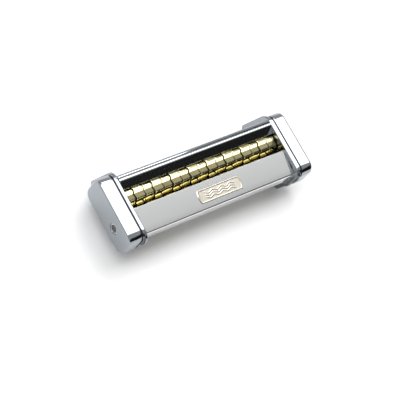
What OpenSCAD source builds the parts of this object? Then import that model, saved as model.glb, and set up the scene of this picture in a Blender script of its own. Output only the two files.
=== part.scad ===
// Ribbon cutter for a hand-cranked pasta machine: two geared cutting rollers in a chromed frame.
// X runs along the rollers, away from the crank. Y runs from the front to the back. Z is up,
// towards the feed side. The origin is the middle of the ground that the inner frames stand on.

/* [Body] */
// Overall length, over both end covers
body_length = 190; // [170:1:240]
// Width of the end covers, front to back
body_width = 60; // [55:1:72]
// Height of the feed rim above the ground
body_height = 42; // [40:1:60]
// Height of the end covers' lower edge above the ground
skirt_height = 12.5; // [9:0.5:14]
// Radius of the end covers' four corners, seen from the end
corner_r = 8; // [6:0.5:10]
// Thickness of the chromed sheet
sheet_t = 0.8; // [0.6:0.1:1]

/* [End covers] */
// Depth of each end cover, out from its bearing plate
cover_depth = 12; // [11.5:0.5:16]
// Wall of an end cover
cover_wall = 1.1; // [0.8:0.1:1.6]
// Radius of the edge round an end cover's outer face
cover_edge_r = 2.6; // [1.5:0.1:3]
// Radius of the crank hole
crank_hole_r = 4.7; // [4.7:0.1:5.6]

/* [Bearing plates] */
// Thickness of a bearing plate
plate_t = 1.6; // [1.2:0.1:2]
// How far a bearing plate stays inside the covers' outline, which leaves the dark seam
seam_drop = 0.8; // [0.4:0.1:1.2]

/* [Inner frames] */
// Depth of each inner frame's rim, in from its bearing plate
frame_depth = 3.6; // [3:0.1:5]
// Radius of the edge round an inner frame's face
frame_edge_r = 1.4; // [1:0.1:2]
// Thickness of the slide tongues
tongue_t = 1.6; // [1.2:0.1:2]
// How far the tongues' upper corners stand out past the rim, front and back
tongue_out = 2; // [1:0.5:4]
// How far the tongues lean back on their way down, in degrees
tongue_lean = 14; // [8:1:18]
// Radius of the tongues' upper corners
tongue_top_r = 8; // [6:0.5:9]
// Radius of the tongues' lower corners
tongue_foot_r = 4.5; // [2:0.5:6]

/* [Cutting rollers] */
// Radius of the cutting rings
ring_r = 10; // [8:0.1:12]
// Depth of a groove below the rings
groove_step = 0.7; // [0.7:0.1:1.6]
// Gap between a ring's rim and the facing groove's floor
ring_tip_gap = 0.3; // [0.2:0.05:0.5]
// Gap between the sides of two rings that pass each other
ring_side_gap = 0.45; // [0.4:0.05:0.6]
// Number of ribbons cut side by side
ribbon_count = 17; // [11:2:21]
// Number of waves round a ring's edge
wave_count = 8; // [6:2:10]
// Height of a wave, from its middle line
wave_height = 0.6; // [0.3:0.1:0.8]
// Depth of the rollers' top line below the feed rim
feed_depth = 5.2; // [4.8:0.1:7]
// Y of the pinch between the rollers, from the middle of the covers
nip_y = -0.5; // [-1:0.1:0]
// Gap between a roller's end and the inner frame
roller_end_gap = 0.3; // [0.2:0.1:0.6]

/* [Shafts and drive] */
// Radius of both roller shafts
shaft_r = 5; // [4.5:0.1:5]
// Running clearance of a shaft in its bush, on the radius
running_gap = 0.05; // [0.02:0.01:0.1]
// Clearance of pieces that are assembled and stay put, on the radius
fit_gap = 0.02; // [0.01:0.01:0.05]
// Radius of the crank socket
socket_r = 3.5; // [3:0.1:3.6]
// Depth of the crank socket, down to its drive pin
socket_depth = 6.4; // [5:0.2:6.4]
// Radius of the drive pin across the socket
drive_pin_r = 1.2; // [0.8:0.1:1.3]
// Radius of the shaft's seat under a gear
gear_seat_r = 4; // [3.5:0.1:4.2]
// Teeth on each gear
gear_teeth = 18; // [16:2:24]
// Thickness of a gear
gear_t = 5; // [3:0.5:5.5]
// Thinning of a tooth at the pitch circle, which makes the backlash
tooth_thinning = 0.12; // [0.08:0.02:0.3]

/* [Bushes and clips] */
// Wall of a bush
bush_wall = 2; // [1.5:0.1:2.2]
// Thickness of a bush's flange
bush_flange_t = 1.2; // [0.8:0.1:1.2]
// Thickness of a shaft clip
clip_t = 0.6; // [0.5:0.1:0.8]

/* [Combs and fasteners] */
// Radius of the rod through each comb
comb_rod_r = 2; // [1.5:0.1:2.2]
// Thickness of a comb finger
comb_finger_t = 1.5; // [1:0.1:1.8]
// Gap between a comb finger and its groove, below and beside
comb_gap = 0.45; // [0.3:0.1:0.8]
// Radius of a cover screw's thread
screw_r = 1.4; // [1.2:0.1:1.5]

/* [Panels] */
// How far the front wall stays inside the covers' front
front_inset = 3.2; // [1:0.1:4]
// Height of the front wall's lower edge above the ground
front_wall_foot = 22; // [18:0.5:23]
// How far the back wall stays inside the covers' back
back_inset = 4.4; // [3:0.1:5]
// Slope of the front panel's top, in degrees
front_slope = 8.5; // [6:0.5:10]
// Slope of the back panel's top flange, in degrees
back_slope = 12; // [4:1:16]
// Slope of the feed guide, in degrees
guide_slope = 37; // [32:1:40]
// Radius of the panels' bends, at the middle of the sheet
bend_r = 1.8; // [1.4:0.1:2.4]
// Radius of the roll along the feed guide's upper edge
guide_roll_r = 1.9; // [1.4:0.1:2]
// Length of the name plate
name_plate_l = 44; // [30:1:60]
// Width of the name plate
name_plate_w = 11.5; // [8:0.5:13]

/* [Hidden] */

$fn = 64;
eps = 0.01;

// The tongues lean back, so the covers stand towards the front of the ground they cover
tongue_top_y = body_width / 2 + tongue_out - tongue_top_r;
tongue_top_z = body_height - 1 - tongue_top_r;
foot_shift = (tongue_top_z - tongue_foot_r) * tan(tongue_lean);
foot_spread = (tongue_top_r - tongue_foot_r) / cos(tongue_lean);
mid_y = -(foot_shift + foot_spread + tongue_foot_r - tongue_top_r) / 2;
covers_front = mid_y - body_width / 2;
covers_back = mid_y + body_width / 2;

// Places along X, from the middle outwards
end_x = body_length / 2;
seam_x = end_x - cover_depth;
plate_x = seam_x - plate_t;
frame_x = plate_x - frame_depth;
roller_x = frame_x - roller_end_gap;
pitch = 2 * roller_x / ribbon_count;

// Rollers
groove_r = ring_r - groove_step;
centre_distance = ring_r + groove_r + ring_tip_gap;
axis_z = body_height - feed_depth - ring_r;
front_y = mid_y + nip_y - centre_distance / 2;
back_y = mid_y + nip_y + centre_distance / 2;
ring_steps = 8 * wave_count;
core_bore_r = shaft_r + fit_gap;
ring_bore_r = (groove_r + fit_gap) / cos(180 / ring_steps);

// Bushes, clips and gears sit one outside the other on the bearing plates
bush_r = shaft_r + running_gap + bush_wall;
flange_r = bush_r + 1.4;
flange_x = seam_x + bush_flange_t;
clip_gap = 0.25;
clip_x = flange_x + clip_gap;
clip_r = shaft_r + 1.3;
clip_groove_depth = 0.8;
gear_x = seam_x + 3.4;
gear_end_x = gear_x + gear_t;
gear_clip_x = gear_end_x + clip_gap;
gear_shaft_end_x = gear_clip_x + clip_t + 0.7;
shaft_step_x = gear_x - 0.2;
back_shaft_end_x = clip_x + clip_t + 0.9;

// Crank socket
socket_mouth_x = end_x - 0.6;
socket_floor_x = socket_mouth_x - socket_depth;
drive_bore_r = socket_r - 0.6;
neck_r = socket_r + 0.9;
neck_x = end_x - 4;
drive_bore_depth = 2 * drive_pin_r + 0.2;

// Combs and their rods
comb_bar_top = axis_z - ring_r - comb_gap;
comb_bar_height = 5;
comb_bar_half = 3.5;
rod_z = comb_bar_top - comb_bar_height / 2;
finger_r = groove_r + comb_gap;
finger_width = pitch - 2 * wave_height - 2 * comb_gap;
finger_tip_angle = 50;
comb_x = frame_x - 2;
comb_end_step = 0.6;
tongue_x = frame_x + 0.4;
rod_end_x = tongue_x + tongue_t;

// Cover screws
screw_z = skirt_height + 5;
front_screw_y = covers_front + 6.5;
back_screw_y = covers_back - 9;
boss_r = screw_r + 1.2;
screw_head_r = 2.6;
screw_head_t = 1.5;
screw_end_x = seam_x + 7;

// Panels
front_wall_y = covers_front + front_inset + sheet_t / 2;
back_wall_y = covers_back - back_inset - sheet_t / 2;
panel_end_gap = 0.1;
panel_x = frame_x - panel_end_gap;
panel_over_roller = 0.6;
panel_edge_y = front_y + 6.2;
panel_edge_z = axis_z + ring_r + panel_over_roller + sheet_t / 2
    + (panel_edge_y - front_y) * tan(front_slope);
back_wall_foot = skirt_height + 1.6;
flange_l = 3;
guide_roll_y = back_wall_y - 4.5;
guide_roll_z = body_height - guide_roll_r;
guide_l = 5.7;
tab_length = frame_depth + plate_t;
tab_gap = 0.15;
wall_tab_z = [axis_z - 1, axis_z + 5];
front_tab_y = [mid_y - 21, mid_y - 14];
name_plate_t = 0.7;
name_plate_end_r = 14;
name_plate_x = 3;
name_plate_y = mid_y - 15.3;

// A YZ outline carried from x0 to x1
module along_x(x0, x1) {
    translate([x0, 0, 0]) rotate([90, 0, 90]) linear_extrude(x1 - x0) children();
}

// A round bar along X
module bar(x0, x1, y, z, r) {
    translate([x0, y, z]) rotate([0, 90, 0]) cylinder(h = x1 - x0, r = r);
}

// The pieces are drawn for the left end; side = 1 mirrors them to the right end
module on_side(side) {
    if (side > 0) mirror([1, 0, 0]) children();
    else children();
}

// A rectangle from a to b with round corners
module round_rect(a, b, r) {
    translate([a[0] + r, a[1]]) square([b[0] - a[0] - 2 * r, b[1] - a[1]]);
    translate([a[0], a[1] + r]) square([b[0] - a[0], b[1] - a[1] - 2 * r]);
    for (y = [a[0] + r, b[0] - r], z = [a[1] + r, b[1] - r]) translate([y, z]) circle(r);
}

// A pressed cup: x0 is its closed face, x1 its open side, inset shrinks it to its own hollow
module cup(x0, x1, edge_r, inset) {
    lo = [covers_front + inset, skirt_height + inset];
    hi = [covers_back - inset, body_height - inset];
    r = edge_r - inset;
    reach = 2 * edge_r;
    intersection() {
        along_x(x0 + inset, x1) round_rect(lo, hi, corner_r - inset);
        translate([0, hi[0] + 1, 0]) rotate([90, 0, 0]) linear_extrude(hi[0] - lo[0] + 2)
            round_rect([x0 + inset, lo[1]], [x1 + reach, hi[1]], r);
        linear_extrude(body_height + 1)
            round_rect([x0 + inset, lo[0]], [x1 + reach, hi[0]], r);
    }
}

// Strip of sheet along a path of legs: each leg is [length, turn, bend radius]
function arc_count(turn) = max(1, round(abs(turn) / 11.25));
function leg_points(p, a, leg) =
    let (q = p + leg[0] * [cos(a), sin(a)],
         s = sign(leg[1]),
         c = q + s * leg[2] * [-sin(a), cos(a)],
         n = arc_count(leg[1]))
    leg[1] == 0 ? [[q, a]]
    : [for (i = [0:n]) let (b = a + leg[1] * i / n)
        [c + s * leg[2] * [sin(b), -cos(b)], b]];
function path_points(p, a, legs, i = 0) =
    i == len(legs) ? []
    : let (now = leg_points(p, a, legs[i]), last = now[len(now) - 1])
      concat(now, path_points(last[0], last[1], legs, i + 1));
module sheet_strip(p, a, legs, t) {
    path = concat([[p, a]], path_points(p, a, legs));
    upper = [for (q = path) q[0] + t / 2 * [-sin(q[1]), cos(q[1])]];
    lower = [for (i = [len(path) - 1:-1:0])
        path[i][0] - t / 2 * [-sin(path[i][1]), cos(path[i][1])]];
    polygon(concat(upper, lower));
}

// End covers
module cover_bosses() {
    for (y = [front_screw_y, back_screw_y])
        bar(-end_x + cover_wall / 2, -seam_x, y, screw_z, boss_r);
}
module screw_holes(x0, x1, r) {
    for (y = [front_screw_y, back_screw_y]) bar(x0, x1, y, screw_z, r);
}
module end_cover(side) {
    on_side(side) difference() {
        union() {
            difference() {
                cup(-end_x, -seam_x, cover_edge_r, 0);
                cup(-end_x, -seam_x + eps, cover_edge_r, cover_wall);
            }
            intersection() {
                cover_bosses();
                cup(-end_x, -seam_x, cover_edge_r, cover_wall / 2);
            }
        }
        screw_holes(-screw_end_x - 0.5, -seam_x + eps, screw_r + fit_gap);
        if (side < 0) bar(-end_x - 1, -end_x + cover_wall + 1, front_y, axis_z, crank_hole_r);
    }
}
module left_end_cover() color("silver") end_cover(-1);
module right_end_cover() color("silver") end_cover(1);

// Slots that the panels' tabs pass through, from x0 to x1
module slot_box(x0, x1, ys, zs) {
    translate([x0, ys[0] - tab_gap, zs[0] - tab_gap])
        cube([x1 - x0, ys[1] - ys[0] + 2 * tab_gap, zs[1] - zs[0] + 2 * tab_gap]);
}
module tab_slots(x0, x1) {
    half = sheet_t / 2;
    fall = (front_tab_y[1] - front_tab_y[0]) * tan(front_slope);
    top_z = panel_edge_z - (panel_edge_y - front_tab_y[1]) * tan(front_slope);
    slot_box(x0, x1, [front_wall_y - half, front_wall_y + half], wall_tab_z);
    slot_box(x0, x1, [back_wall_y - half, back_wall_y + half], wall_tab_z);
    slot_box(x0, x1, front_tab_y, [top_z - fall - 1.1 * half, top_z + 1.1 * half]);
}

// Bearing plates: flat steel between each end cover and its inner frame, out of sight
module bearing_plate(side) {
    lo = [covers_front + seam_drop, skirt_height + seam_drop];
    hi = [covers_back - seam_drop, body_height - seam_drop];
    on_side(side) difference() {
        along_x(-seam_x, -plate_x) round_rect(lo, hi, corner_r - seam_drop);
        for (y = [front_y, back_y])
            bar(-seam_x - 1, -plate_x + 1, y, axis_z, bush_r + fit_gap);
        screw_holes(-seam_x - 1, -plate_x + 1, screw_r + 0.2);
        tab_slots(-seam_x - 1, -plate_x + 1);
    }
}
module left_bearing_plate() color("gray") bearing_plate(-1);
module right_bearing_plate() color("gray") bearing_plate(1);

// Inner frames: a bright rim in one piece with the two leaning slide tongues
module tongue_outline() {
    top_z = tongue_top_z;
    foot_z = tongue_foot_r;
    front_foot = -tongue_top_y + foot_shift - foot_spread;
    back_foot = tongue_top_y + foot_shift + foot_spread;
    across = [cos(tongue_lean), sin(tongue_lean)];
    translate([mid_y, 0]) {
        polygon([[front_foot, 0], [back_foot, 0],
            [back_foot, foot_z] + foot_z * across,
            [tongue_top_y, top_z] + tongue_top_r * across,
            [tongue_top_y, top_z + tongue_top_r], [-tongue_top_y, top_z + tongue_top_r],
            [-tongue_top_y, top_z] - tongue_top_r * across,
            [front_foot, foot_z] - foot_z * across]);
        for (y = [front_foot, back_foot]) translate([y, foot_z]) circle(foot_z);
        for (s = [-1, 1]) translate([s * tongue_top_y, top_z]) circle(tongue_top_r);
    }
}
module inner_frame(side) {
    on_side(side) difference() {
        union() {
            difference() {
                mirror([1, 0, 0]) cup(frame_x, plate_x, frame_edge_r, 0);
                mirror([1, 0, 0]) cup(frame_x, plate_x + eps, frame_edge_r, sheet_t);
            }
            along_x(-tongue_x - tongue_t, -tongue_x) tongue_outline();
        }
        for (y = [front_y, back_y]) {
            bar(-plate_x - 1, -frame_x + 1, y, axis_z, shaft_r + 1);
            bar(-plate_x - 1, -frame_x + 1, y, rod_z, comb_rod_r + fit_gap);
        }
        screw_holes(-plate_x - 1, -frame_x + 1, screw_r + 0.2);
        tab_slots(-plate_x - 1, -frame_x + 1);
    }
}
module left_inner_frame() color("gainsboro") inner_frame(-1);
module right_inner_frame() color("gainsboro") inner_frame(1);

// Front panel: sloping top, front wall and return flange, with two tabs at each end
module front_section() {
    top_l = (panel_edge_y - front_wall_y - bend_r) / cos(front_slope);
    start = [panel_edge_y, panel_edge_z];
    bend_z = panel_edge_z - top_l * sin(front_slope) - bend_r;
    wall_l = bend_z - front_wall_foot - bend_r;
    sheet_strip(start, 180 + front_slope,
        [[top_l, 90 - front_slope, bend_r], [wall_l, 90, bend_r], [flange_l, 0, 0]], sheet_t);
}
module front_panel() color("lightgray") {
    along_x(-panel_x, panel_x) front_section();
    along_x(-panel_x - tab_length, panel_x + tab_length) intersection() {
        front_section();
        union() {
            translate([front_tab_y[0], axis_z]) square([front_tab_y[1] - front_tab_y[0], 20]);
            translate([front_wall_y - 1, wall_tab_z[0]]) square([2, wall_tab_z[1] - wall_tab_z[0]]);
        }
    }
}

// Back panel: narrow top flange, back wall and return flange, with a tab at each end
module back_section() {
    top = body_height - 0.4 - sheet_t / 2;
    start = [guide_roll_y + guide_roll_r + 0.25, top];
    top_l = (back_wall_y - bend_r * (1 - sin(back_slope)) - start[0]) / cos(back_slope);
    wall_l = top - top_l * sin(back_slope) - bend_r * cos(back_slope) - bend_r - back_wall_foot;
    sheet_strip(start, -back_slope,
        [[top_l, back_slope - 90, bend_r], [wall_l, -90, bend_r], [flange_l, 0, 0]], sheet_t);
}
module back_panel() color("silver") {
    along_x(-panel_x, panel_x) back_section();
    along_x(-panel_x - tab_length, panel_x + tab_length) intersection() {
        back_section();
        translate([back_wall_y - 1, wall_tab_z[0]]) square([2, wall_tab_z[1] - wall_tab_z[0]]);
    }
}

// Feed guide: a mirror-bright slope down to the back roller, rolled along its upper edge
module feed_guide() color("dimgray") {
    along_x(-panel_x, panel_x) {
        difference() {
            translate([guide_roll_y, guide_roll_z]) circle(guide_roll_r);
            translate([guide_roll_y, guide_roll_z]) circle(guide_roll_r - sheet_t);
        }
        difference() {
            translate([guide_roll_y, guide_roll_z]) rotate(180 + guide_slope)
                translate([0, -guide_roll_r]) square([guide_l + guide_roll_r, sheet_t]);
            translate([guide_roll_y, guide_roll_z]) circle(guide_roll_r - sheet_t / 2);
        }
    }
}

// Name plate: a thin plate with round-ended short sides, lying on the front panel's slope
module name_plate() color("beige") {
    z = panel_edge_z - (panel_edge_y - name_plate_y) * tan(front_slope)
        + (sheet_t / 2 + fit_gap) / cos(front_slope);
    translate([name_plate_x, name_plate_y, z]) rotate([front_slope, 0, 0])
        linear_extrude(name_plate_t) intersection() {
            square([name_plate_l, name_plate_w], center = true);
            union() {
                square([name_plate_l - name_plate_end_r, name_plate_w], center = true);
                for (s = [-1, 1])
                    translate([s * (name_plate_l / 2 - name_plate_end_r), 0]) circle(name_plate_end_r);
            }
        }
}

// Roller shafts. The front one carries the crank socket, both carry a gear seat with a flat
module shaft_seat(y) {
    difference() {
        bar(shaft_step_x - eps, gear_shaft_end_x, y, axis_z, gear_seat_r);
        translate([shaft_step_x, y - gear_seat_r, axis_z + gear_seat_r - 0.8])
            cube([gear_shaft_end_x, 2 * gear_seat_r, 2]);
        clip_groove(gear_clip_x, y, gear_seat_r);
    }
}
module clip_groove(x0, y, r) {
    difference() {
        bar(x0 - 0.05, x0 + clip_t + 0.05, y, axis_z, r + 1);
        bar(x0 - 1, x0 + clip_t + 1, y, axis_z, r - clip_groove_depth);
    }
}
module front_roller_shaft() color("lightsteelblue") {
    difference() {
        union() {
            bar(-socket_mouth_x, -neck_x + eps, front_y, axis_z, neck_r);
            bar(-neck_x, shaft_step_x, front_y, axis_z, shaft_r);
        }
        bar(-socket_mouth_x - 1, -socket_floor_x, front_y, axis_z, socket_r);
        bar(-socket_floor_x - eps, -socket_floor_x + drive_bore_depth, front_y, axis_z, drive_bore_r);
        translate([-socket_floor_x + drive_bore_depth / 2, front_y, axis_z])
            cylinder(h = 4 * shaft_r, r = drive_pin_r + fit_gap, center = true);
        clip_groove(-clip_x - clip_t, front_y, shaft_r);
    }
    shaft_seat(front_y);
}
module back_roller_shaft() color("lightsteelblue") {
    difference() {
        bar(-back_shaft_end_x, shaft_step_x, back_y, axis_z, shaft_r);
        clip_groove(-clip_x - clip_t, back_y, shaft_r);
    }
    shaft_seat(back_y);
}
module crank_drive_pin() color("gray") {
    translate([-socket_floor_x + drive_bore_depth / 2, front_y, axis_z])
        cylinder(h = 2 * shaft_r - 0.6, r = drive_pin_r, center = true);
}

// Roller cores: plain sleeves whose surface is the floor of the grooves
module roller_core(y) {
    difference() {
        bar(-roller_x, roller_x, y, axis_z, groove_r);
        bar(-roller_x - 1, roller_x + 1, y, axis_z, core_bore_r);
    }
}
module front_roller_core() color("darkkhaki") roller_core(front_y);
module back_roller_core() color("darkkhaki") roller_core(back_y);

// Cutting rings: both sides of a ring follow the same wave, so the ring keeps its width.
// The two rollers' waves mirror each other across the pinch and stay in step as they turn.
function wave(a, hand) = hand * wave_height * sin(wave_count * a);
function ring_points(x0, x1, hand) = [
    for (i = [0:ring_steps - 1])
        let (a = 360 * i / ring_steps, w = wave(a, hand))
        each [for (p = [[x0, ring_bore_r], [x1, ring_bore_r], [x1, ring_r], [x0, ring_r]])
            [p[0] + w, p[1] * cos(a), p[1] * sin(a)]]
];
function ring_faces() = [
    for (i = [0:ring_steps - 1], k = [0:3])
        let (j = (i + 1) % ring_steps, m = (k + 1) % 4)
        each [[4 * i + k, 4 * j + m, 4 * i + m], [4 * i + k, 4 * j + k, 4 * j + m]]
];
module cutting_rings(y, first, hand) {
    for (k = [first:2:ribbon_count - 1]) {
        outer_l = k == 0 ? wave_height + ring_side_gap : ring_side_gap / 2;
        outer_r = k == ribbon_count - 1 ? wave_height + ring_side_gap : ring_side_gap / 2;
        x0 = -roller_x + k * pitch + outer_l;
        x1 = -roller_x + (k + 1) * pitch - outer_r;
        translate([0, y, axis_z])
            polyhedron(points = ring_points(x0, x1, hand), faces = ring_faces());
    }
}
module front_cutting_rings() color("khaki") cutting_rings(front_y, 0, 1);
module back_cutting_rings() color("khaki") cutting_rings(back_y, 1, -1);

// Gears: equal spur gears with involute flanks
pitch_r = centre_distance / 2;
gear_module = centre_distance / gear_teeth;
base_r = pitch_r * cos(20);
tip_r = pitch_r + 0.92 * gear_module;
root_r = pitch_r - 1.2 * gear_module;
flank_steps = 5;
function inv(a) = tan(a) * 180 / PI - a;
function half_angle(r) =
    90 / gear_teeth - tooth_thinning / 2 / pitch_r * 180 / PI + inv(20) - inv(acos(base_r / r));
function flank(side) = [
    for (i = [0:flank_steps])
        let (k = side < 0 ? i : flank_steps - i, r = base_r + (tip_r - base_r) * k / flank_steps)
        [r, side * half_angle(r)]
];
function tooth(a) = concat(
    [[root_r, a - half_angle(base_r)]],
    [for (p = concat(flank(-1), flank(1))) [p[0], a + p[1]]],
    [[root_r, a + half_angle(base_r)]]
);
module gear(y, turn) {
    points = [for (i = [0:gear_teeth - 1]) each tooth(turn + i * 360 / gear_teeth)];
    difference() {
        along_x(gear_x, gear_end_x) translate([y, axis_z])
            polygon([for (p = points) p[0] * [cos(p[1]), sin(p[1])]]);
        difference() {
            bar(gear_x - 1, gear_end_x + 1, y, axis_z, gear_seat_r + fit_gap);
            translate([gear_x - 2, y - gear_seat_r - 1, axis_z + gear_seat_r - 0.8 + fit_gap])
                cube([gear_t + 4, 2 * gear_seat_r + 2, 2]);
        }
    }
}
module front_gear() color("darkgray") gear(front_y, 0);
module back_gear() color("darkgray") gear(back_y, 180 + 180 / gear_teeth);

// Flanged bushes, pushed into the bearing plates from outside
module bush(side, y) {
    on_side(side) difference() {
        union() {
            bar(-seam_x, -plate_x, y, axis_z, bush_r);
            bar(-flange_x, -seam_x, y, axis_z, flange_r);
        }
        bar(-flange_x - 1, -plate_x + 1, y, axis_z, shaft_r + running_gap);
    }
}
module left_front_bush() color("tan") bush(-1, front_y);
module left_back_bush() color("tan") bush(-1, back_y);
module right_front_bush() color("tan") bush(1, front_y);
module right_back_bush() color("tan") bush(1, back_y);

// Open clips snapped into the shafts' grooves
module clip(x0, y, r) {
    difference() {
        bar(x0, x0 + clip_t, y, axis_z, r + 1.3);
        bar(x0 - 1, x0 + clip_t + 1, y, axis_z, r - clip_groove_depth + fit_gap);
        translate([x0 - 1, y - (r - clip_groove_depth), axis_z - 2 * r - 1.3])
            cube([clip_t + 2, 2 * (r - clip_groove_depth), 2 * r + 1.3]);
    }
}
module shaft_clips(y) {
    clip(-clip_x - clip_t, y, shaft_r);
    clip(gear_clip_x, y, gear_seat_r);
}
module front_shaft_clips() color("dimgray") shaft_clips(front_y);
module back_shaft_clips() color("dimgray") shaft_clips(back_y);

// Combs: a bar on a rod, with a curved finger in each groove that peels the ribbons off
module comb(y, first, hand) {
    difference() {
        union() {
            translate([-comb_x, y - comb_bar_half, rod_z - comb_bar_height / 2])
                cube([2 * comb_x, 2 * comb_bar_half, comb_bar_height]);
            for (k = [first:2:ribbon_count - 1]) {
                middle = -roller_x + (k + 0.5) * pitch;
                low = max(-comb_x + comb_end_step, middle - finger_width / 2);
                high = min(comb_x - comb_end_step, middle + finger_width / 2);
                along_x(low, high) translate([y, axis_z]) finger_section(hand);
            }
        }
        bar(-comb_x - 1, comb_x + 1, y, rod_z, comb_rod_r + fit_gap);
    }
}
module finger_section(hand) {
    reach = 3 * ring_r;
    intersection() {
        difference() {
            circle(finger_r + comb_finger_t);
            circle(finger_r);
        }
        polygon([[0, 0], reach * [hand * cos(finger_tip_angle), -sin(finger_tip_angle)],
            [0, -reach], [-hand * 0.12 * reach, -reach]]);
    }
}
module front_comb() color("whitesmoke") comb(front_y, 1, 1);
module back_comb() color("whitesmoke") comb(back_y, 0, -1);

// Rods and screws that hold the frame together. The rods' ends are riveted flush
module front_comb_rod() color("gray") bar(-rod_end_x, rod_end_x, front_y, rod_z, comb_rod_r);
module back_comb_rod() color("gray") bar(-rod_end_x, rod_end_x, back_y, rod_z, comb_rod_r);
module cover_screw(side, y) {
    on_side(side) {
        bar(-screw_end_x, -frame_x + eps, y, screw_z, screw_r);
        bar(-frame_x, -frame_x + screw_head_t, y, screw_z, screw_head_r);
    }
}
module cover_screws() color("gray") {
    for (side = [-1, 1], y = [front_screw_y, back_screw_y]) cover_screw(side, y);
}

left_end_cover();
right_end_cover();
left_bearing_plate();
right_bearing_plate();
left_inner_frame();
right_inner_frame();
front_panel();
back_panel();
feed_guide();
name_plate();
front_roller_shaft();
back_roller_shaft();
front_roller_core();
back_roller_core();
front_cutting_rings();
back_cutting_rings();
front_gear();
back_gear();
left_front_bush();
left_back_bush();
right_front_bush();
right_back_bush();
crank_drive_pin();
front_shaft_clips();
back_shaft_clips();
front_comb();
back_comb();
front_comb_rod();
back_comb_rod();
cover_screws();
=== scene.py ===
"""Ribbon cutter for a hand-cranked pasta machine: its finished look around the fixed frame.

X runs along the rollers, away from the crank. Y runs from the front to the back. Z is up.
All sizes are in metres.
"""

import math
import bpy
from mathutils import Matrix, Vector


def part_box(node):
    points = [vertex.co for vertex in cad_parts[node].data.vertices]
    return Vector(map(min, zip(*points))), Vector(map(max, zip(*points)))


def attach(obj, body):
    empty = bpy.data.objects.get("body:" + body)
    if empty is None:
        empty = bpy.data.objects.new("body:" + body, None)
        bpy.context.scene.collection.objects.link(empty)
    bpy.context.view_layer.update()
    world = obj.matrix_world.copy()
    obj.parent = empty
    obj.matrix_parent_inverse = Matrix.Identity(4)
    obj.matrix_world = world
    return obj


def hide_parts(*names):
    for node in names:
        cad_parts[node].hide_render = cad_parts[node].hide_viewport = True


bl_info = {
    "name": "Ribbon Cutter",
    "version": (1, 0, 0),
    "blender": (4, 5, 0),
    "location": "3D View > Sidebar > Ribbon Cutter",
    "description": "Builds the chromed covers, panels, cutting rollers and stage of a ribbon cutter",
    "category": "Add Mesh",
}

import bpy
import numpy as np
from mathutils import Matrix, Vector

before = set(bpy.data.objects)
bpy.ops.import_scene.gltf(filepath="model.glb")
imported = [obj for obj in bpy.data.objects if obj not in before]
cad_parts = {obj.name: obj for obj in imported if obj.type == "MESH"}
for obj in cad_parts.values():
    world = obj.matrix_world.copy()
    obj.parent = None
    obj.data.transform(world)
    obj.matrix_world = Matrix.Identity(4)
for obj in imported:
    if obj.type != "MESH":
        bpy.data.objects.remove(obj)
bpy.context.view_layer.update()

MM = 0.001


def node_box(name):
    """Lowest and highest corner of a frame node, as two numpy rows."""
    low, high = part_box(name)
    return np.array(low), np.array(high)


COVER_LOW, COVER_HIGH = node_box("left_end_cover")
CORE_LOW, CORE_HIGH = node_box("front_roller_core")
PLATE_LOW, PLATE_HIGH = node_box("name_plate")


# Sizes that a user would change

def length(name, description, default):
    """A length in metres for a property group."""
    return bpy.props.FloatProperty(
        name=name, description=description, default=float(default),
        min=0.0, max=2.0, precision=5, unit="LENGTH")


def angle(name, description, degrees):
    """An angle for a property group, given in degrees."""
    return bpy.props.FloatProperty(
        name=name, description=description, default=math.radians(degrees), subtype="ANGLE")


def count(name, description, default):
    """A whole number for a property group."""
    return bpy.props.IntProperty(name=name, description=description, default=default, min=1)


def level(name, description, default, top=10.0):
    """A plain number from 0 to top."""
    return bpy.props.FloatProperty(
        name=name, description=description, default=default, min=0.0, max=top, precision=3)


def colour(name, description, default):
    """A linear colour."""
    return bpy.props.FloatVectorProperty(
        name=name, description=description, default=default, size=3, min=0.0, max=1.0,
        subtype="COLOR")


class CoverSizes(bpy.types.PropertyGroup):
    """Sizes of the two end covers."""

    corner: length("Corner radius", "Radius of the four corners, seen from the end", 8 * MM)
    edge: length("Edge radius", "Radius of the edge round the outer face", 2.6 * MM)
    wall: length("Wall", "Thickness of the chromed sheet", 1.1 * MM)
    crown: length("Crown", "How far the top and sides fall off towards their edges", 0.14 * MM)
    crank_hole: length("Crank hole radius", "Radius of the hole for the crank", 4.7 * MM)
    boss: length("Boss radius", "Radius of the bosses that the cover screws hold", 2.6 * MM)
    screw: length("Screw bore radius", "Radius of the bore in a boss", 1.42 * MM)
    screw_depth: length("Screw bore depth", "Depth of the straight part of that bore", 7.5 * MM)
    screw_rise: length("Screw height", "Height of the screws over the cover's foot", 5 * MM)
    screw_front: length("Front screw", "From the cover's front to the front screw", 6.5 * MM)
    screw_back: length("Back screw", "From the cover's back to the back screw", 9 * MM)
    lip: length("Lip", "Radius of the rounded rim of the crank hole", 0.3 * MM)


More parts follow.
